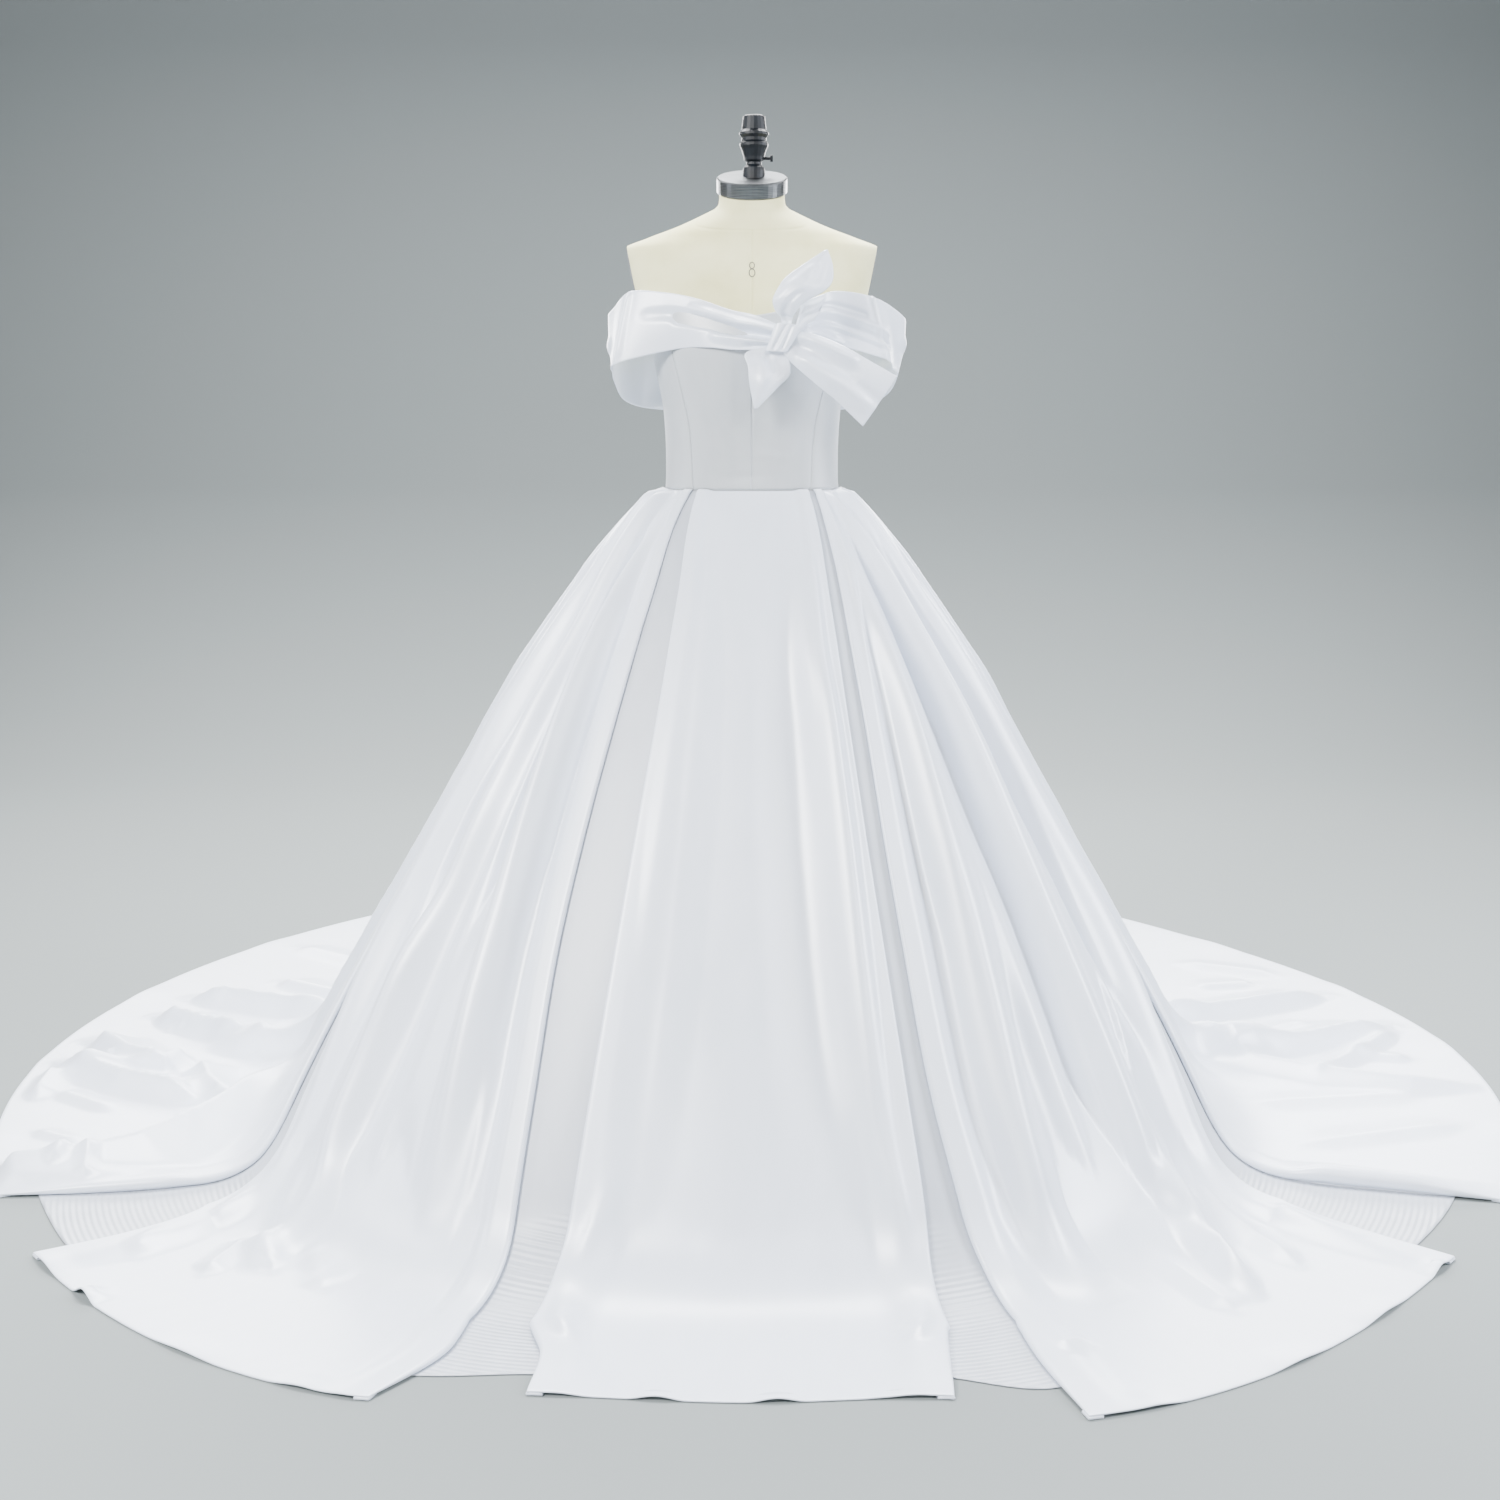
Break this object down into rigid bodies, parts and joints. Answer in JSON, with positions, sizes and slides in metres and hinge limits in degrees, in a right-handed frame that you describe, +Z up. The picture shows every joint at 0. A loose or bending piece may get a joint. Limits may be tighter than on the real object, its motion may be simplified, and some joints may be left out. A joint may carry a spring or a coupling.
{
  "type": "wedding dress on dress form",
  "caption": "White satin off-the-shoulder wedding dress with a bow, pleated full skirt and train, standing on a limbless ivory dress form.",
  "frame": {"origin": "on the floor, at the centre of the stand base's underside", "axes": "+Z up; -Y the dress's front, the side shown in the picture; +Y out along the train; +X the wearer's left, the picture's right"},
  "size_m": [2.5445, 2.5355, 1.58],
  "materials": {
    "satin": "glossy woven bridal satin, cool white",
    "bodice_satin": "same satin, drawn smooth over the bodice",
    "linen": "ivory linen cover, matte plain weave",
    "steel": "brushed round the rim",
    "black_plastic": "semi-gloss black",
    "grey_plate": "matte dark grey",
    "black_base": "black powder coat"
  },
  "bodies": {
    "gown_on_form": {"form_torso": "linen", "arm_plate_left": "grey_plate", "arm_plate_right": "grey_plate", "neck_cap": "steel", "finial": "black_plastic", "stand_base": "black_base", "stand_pole": "steel", "bodice_front_left": "bodice_satin", "bodice_front_right": "bodice_satin", "bodice_side_left": "bodice_satin", "bodice_side_right": "bodice_satin", "bodice_back_left": "bodice_satin", "bodice_back_right": "bodice_satin", "band_left": "satin", "band_right": "satin", "bow_knot": "satin", "bow_ear": "satin", "bow_loop": "satin", "bow_tail_right": "satin", "bow_tail_left": "satin", "skirt_front": "satin", "skirt_side_left": "satin", "skirt_side_right": "satin", "train_left": "satin", "train_right": "satin", "pleat_front_left": "satin", "pleat_front_right": "satin", "pleat_side_left": "satin", "pleat_side_right": "satin"},
    "thumbscrew": {"thumbscrew": "black_plastic"}
  },
  "joints": [
    {"name": "thumbscrew_turn", "type": "hinge", "parent": "gown_on_form", "child": "thumbscrew", "pos_m": [0.0275, 0, 1.518], "axis": [1, 0, 0], "range_deg": [0, 180]}
  ]
}
